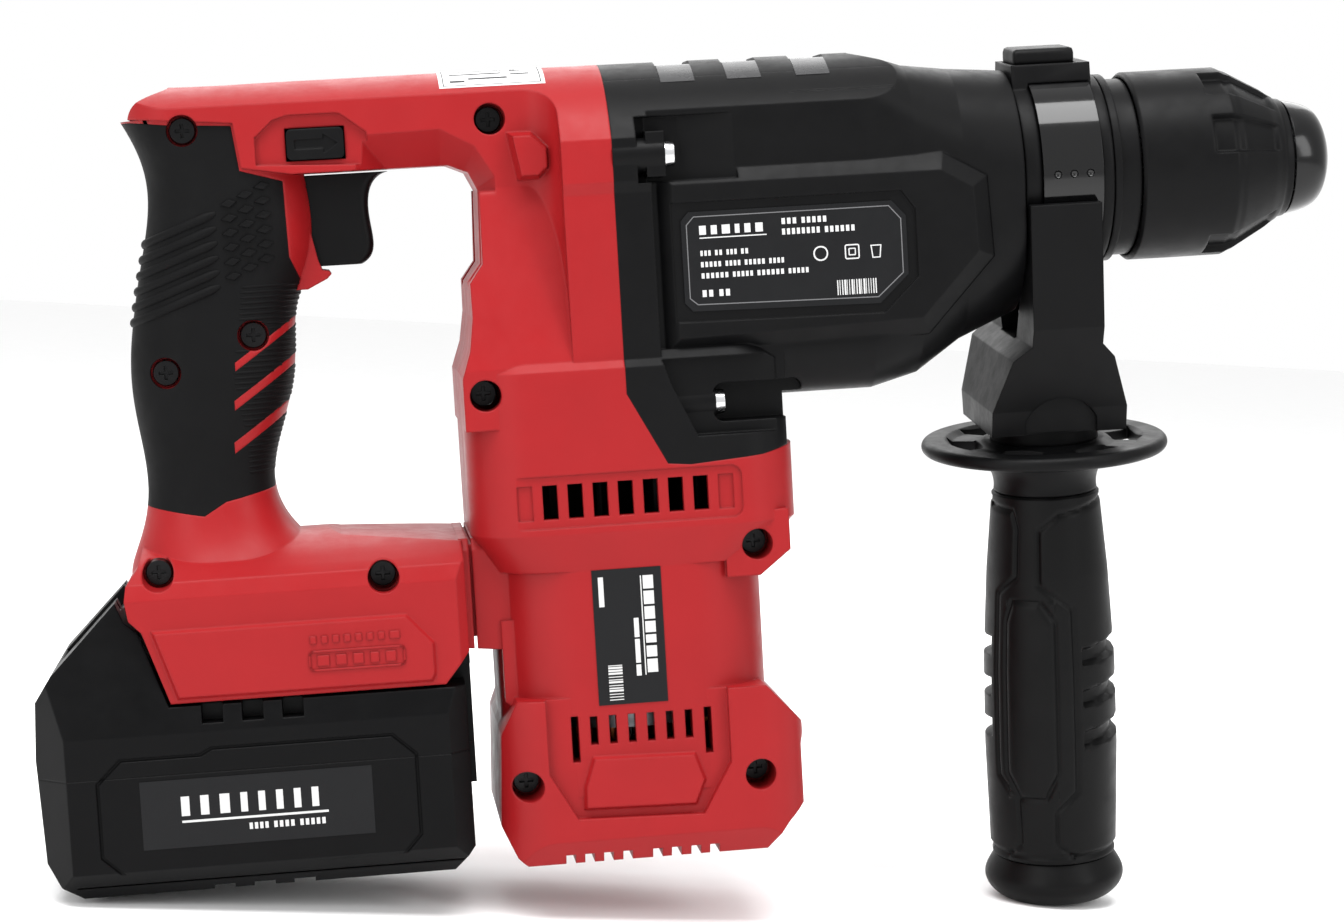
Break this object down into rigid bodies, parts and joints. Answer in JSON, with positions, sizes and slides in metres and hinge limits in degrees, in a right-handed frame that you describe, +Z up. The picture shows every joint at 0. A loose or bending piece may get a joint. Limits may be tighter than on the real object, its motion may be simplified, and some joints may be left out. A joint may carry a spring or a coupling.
{
  "type": "cordless rotary hammer",
  "caption": "Cordless rotary hammer with a D-shaped rear handle, upright motor, quick-lock tool holder, slide-on battery and a swinging side handle.",
  "frame": {"origin": "mouth of the tool bore, on the spindle axis", "axes": "+X out of the nose along the spindle, +Z up, -Y the operator's left side"},
  "size_m": [0.3651, 0.0801, 0.2463],
  "materials": {
    "red_plastic": "satin, fine moulded grain",
    "black_plastic": "satin, fine moulded grain",
    "black_rubber": "matte, ribbed",
    "dark_plate": "satin print film",
    "black_screw": "black oxide",
    "bright_screw": "zinc plated",
    "bearing_steel": "ground",
    "shaft_steel": "ground and hardened",
    "gear_steel": "machined, oiled",
    "lamination_steel": "stacked sheets",
    "magnet": "nickel plated",
    "copper_winding": "enamelled wire",
    "fan_plastic": "satin",
    "cast_bracket": "die cast",
    "seal_rubber": "smooth",
    "spring_steel": "drawn wire",
    "cap_rubber": "glossy",
    "band_steel": "glossy black",
    "circuit_board": "solder mask",
    "cell_can": "wrapped",
    "contact_brass": "plated"
  },
  "bodies": {
    "housing": {"left_housing": "red_plastic", "right_housing": "red_plastic", "left_grip": "black_rubber", "right_grip": "black_rubber", "gear_housing": "black_plastic", "housing_screws": "black_screw", "flange_screws": "bright_screw", "rating_plate": "dark_plate", "stator": "lamination_steel", "stator_coils": "copper_winding", "motor_bearings": "bearing_steel", "bearing_bracket": "cast_bracket", "lay_bearings": "bearing_steel", "spindle_bearings": "bearing_steel", "oil_seal": "seal_rubber", "trigger_spring": "spring_steel", "trigger_switch": "black_plastic", "control_board": "circuit_board", "terminal_block": "black_plastic"},
    "rotor": {"motor_shaft": "shaft_steel", "rotor_core": "lamination_steel", "rotor_magnets": "magnet", "cooling_fan": "fan_plastic"},
    "layshaft": {"lay_shaft": "gear_steel", "crown_gear": "gear_steel", "wobble_hub": "bearing_steel"},
    "wobble": {"wobble_ring": "gear_steel"},
    "air_piston": {"piston": "cast_bracket", "piston_seal": "seal_rubber", "piston_pin": "shaft_steel"},
    "striker": {"ram": "shaft_steel", "ram_seal": "seal_rubber"},
    "bolt": {"impact_bolt": "shaft_steel"},
    "tool_spindle": {"spindle": "shaft_steel", "spindle_gear": "gear_steel", "bolt_guide": "gear_steel", "dust_cap": "cap_rubber", "sleeve_stop": "shaft_steel", "sleeve_spring": "spring_steel"},
    "sleeve": {"locking_sleeve": "black_plastic", "ball_cage": "gear_steel"},
    "left_ball": {"lock_ball_left": "bearing_steel"},
    "right_ball": {"lock_ball_right": "bearing_steel"},
    "trigger_lever": {"trigger": "black_plastic"},
    "direction": {"direction_button": "black_plastic"},
    "mode_selector": {"mode_knob": "black_plastic"},
    "battery": {"battery_case_upper": "black_plastic", "battery_case_lower": "black_plastic", "battery_cells": "cell_can", "battery_board": "circuit_board", "battery_contacts": "contact_brass"},
    "latch": {"battery_latch": "black_plastic"},
    "side_handle": {"clamp_ring": "black_plastic", "clamp_band": "band_steel", "clamp_bolt": "bright_screw", "side_bracket": "black_plastic"},
    "stop_button": {"depth_button": "black_plastic"},
    "grip_body": {"handle_flange": "black_plastic", "side_grip": "black_plastic", "grip_end_cap": "black_plastic"}
  },
  "joints": [
    {"name": "spindle_spin", "type": "hinge", "parent": "housing", "child": "tool_spindle", "pos_m": [0, 0, 0], "axis": [1, 0, 0], "continuous": true},
    {"name": "lay_spin", "type": "hinge", "parent": "housing", "child": "layshaft", "pos_m": [-0.15, 0, -0.034], "axis": [1, 0, 0], "continuous": true},
    {"name": "motor_spin", "type": "hinge", "parent": "housing", "child": "rotor", "pos_m": [-0.2005, 0, -0.12], "axis": [0, 0, 1], "continuous": true},
    {"name": "wobble_rock", "type": "hinge", "parent": "housing", "child": "wobble", "pos_m": [-0.162, 0, -0.034], "axis": [0, 1, 0], "range_deg": [-10, 10]},
    {"name": "piston_stroke", "type": "slide", "parent": "housing", "child": "air_piston", "axis": [1, 0, 0], "range_m": [-0.006, 0.006]},
    {"name": "striker_flight", "type": "slide", "parent": "housing", "child": "striker", "axis": [1, 0, 0], "range_m": [0, 0.007]},
    {"name": "bolt_blow", "type": "slide", "parent": "tool_spindle", "child": "bolt", "axis": [1, 0, 0], "range_m": [0, 0.003]},
    {"name": "sleeve_pull", "type": "slide", "parent": "tool_spindle", "child": "sleeve", "axis": [-1, 0, 0], "range_m": [0, 0.005], "stiffness_N_per_m": 1200, "springref_m": -0.003, "deforming": ["sleeve_spring"]},
    {"name": "left_ball_lift", "type": "slide", "parent": "tool_spindle", "child": "left_ball", "axis": [0, -1, 0], "range_m": [0, 0.0015]},
    {"name": "right_ball_lift", "type": "slide", "parent": "tool_spindle", "child": "right_ball", "axis": [0, 1, 0], "range_m": [0, 0.0015]},
    {"name": "trigger_pull", "type": "slide", "parent": "housing", "child": "trigger_lever", "axis": [-1, 0, 0], "range_m": [0, 0.006], "stiffness_N_per_m": 1500, "springref_m": -0.002, "deforming": ["trigger_spring"]},
    {"name": "direction_shift", "type": "slide", "parent": "housing", "child": "direction", "axis": [0, 1, 0], "range_m": [-0.0025, 0.0025]},
    {"name": "mode_turn", "type": "hinge", "parent": "housing", "child": "mode_selector", "pos_m": [-0.16, 0.034, -0.014], "axis": [0, 1, 0], "range_deg": [0, 135]},
    {"name": "battery_slide", "type": "slide", "parent": "housing", "child": "battery", "axis": [-1, 0, 0], "range_m": [0, 0.12]},
    {"name": "latch_press", "type": "slide", "parent": "battery", "child": "latch", "axis": [0.7071, 0, -0.7071], "range_m": [0, 0.003], "stiffness_N_per_m": 1500, "springref_m": -0.001},
    {"name": "handle_swing", "type": "hinge", "parent": "housing", "child": "side_handle", "pos_m": [-0.0775, 0, 0], "axis": [1, 0, 0], "continuous": true},
    {"name": "stop_press", "type": "slide", "parent": "side_handle", "child": "stop_button", "axis": [0, 0.1045, -0.9945], "range_m": [0, 0.001], "stiffness_N_per_m": 3000, "springref_m": -0.0005},
    {"name": "grip_turn", "type": "hinge", "parent": "side_handle", "child": "grip_body", "pos_m": [-0.0775, 0, 0], "axis": [0, -0.1045, 0.9945], "range_deg": [0, 360]}
  ],
  "couplings": [
    {"joint": "lay_spin", "follows": "spindle_spin", "ratio": -2.8333},
    {"joint": "motor_spin", "follows": "spindle_spin", "ratio": -10.074},
    {"joint": "piston_stroke", "follows": "wobble_rock", "m_per_rad": 0.034},
    {"joint": "left_ball_lift", "follows": "sleeve_pull", "ratio": 0.3},
    {"joint": "right_ball_lift", "follows": "sleeve_pull", "ratio": 0.3}
  ]
}
